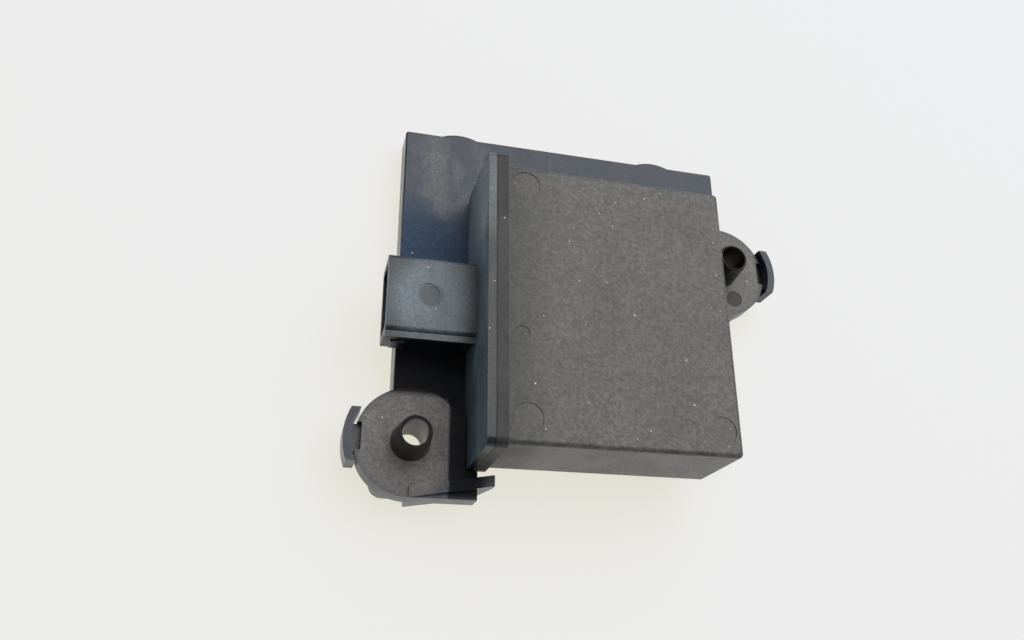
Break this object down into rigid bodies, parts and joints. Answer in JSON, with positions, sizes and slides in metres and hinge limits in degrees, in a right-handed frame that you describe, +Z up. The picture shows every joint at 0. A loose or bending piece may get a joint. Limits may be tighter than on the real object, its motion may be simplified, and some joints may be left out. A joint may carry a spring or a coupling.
{
  "type": "tyre pressure control unit",
  "caption": "Flat box-shaped trigger transmitter for wheel sensors, with a plug socket, on a moulded bracket with two bushed stud ears.",
  "frame": {"origin": "midway between the two stud holes, level with the lower ends of their bushes", "axes": "+X along the housing, away from the plug socket, +Y towards the bracket's back edge, +Z up, along the stud holes"},
  "size_m": [0.1016, 0.0896, 0.0294],
  "materials": {
    "bracket_plastic": "satin moulded, glass filled, dusty",
    "bush_plastic": "satin moulded",
    "housing_plastic": "fine satin moulded",
    "cover_plastic": "satin moulded",
    "seal_rubber": "matte",
    "tinned_brass": "tinned",
    "board_laminate": "solder mask",
    "ferrite": "sintered matte",
    "bobbin_plastic": "moulded",
    "enamelled_wire": "enamelled copper",
    "chip_resin": "moulded resin",
    "steel_can": "drawn can",
    "film_case": "moulded case",
    "aluminium_can": "bright can",
    "ceramic": "fired ceramic"
  },
  "bodies": {
    "root": {"mounting_bracket": "bracket_plastic", "left_bush": "bush_plastic", "right_bush": "bush_plastic", "housing_cup": "housing_plastic", "connector_cover": "cover_plastic", "cover_seal": "seal_rubber", "terminal_1": "tinned_brass", "terminal_2": "tinned_brass", "terminal_3": "tinned_brass", "terminal_4": "tinned_brass", "circuit_board": "board_laminate", "ferrite_core": "ferrite", "antenna_bobbin": "bobbin_plastic", "antenna_winding": "enamelled_wire", "controller_chip": "chip_resin", "driver_chip": "chip_resin", "crystal": "steel_can", "resonance_capacitor": "film_case", "bulk_capacitor": "aluminium_can", "choke": "ferrite", "voltage_regulator": "chip_resin", "ceramic_capacitors": "ceramic", "chip_resistors": "chip_resin"}
  },
  "joints": []
}
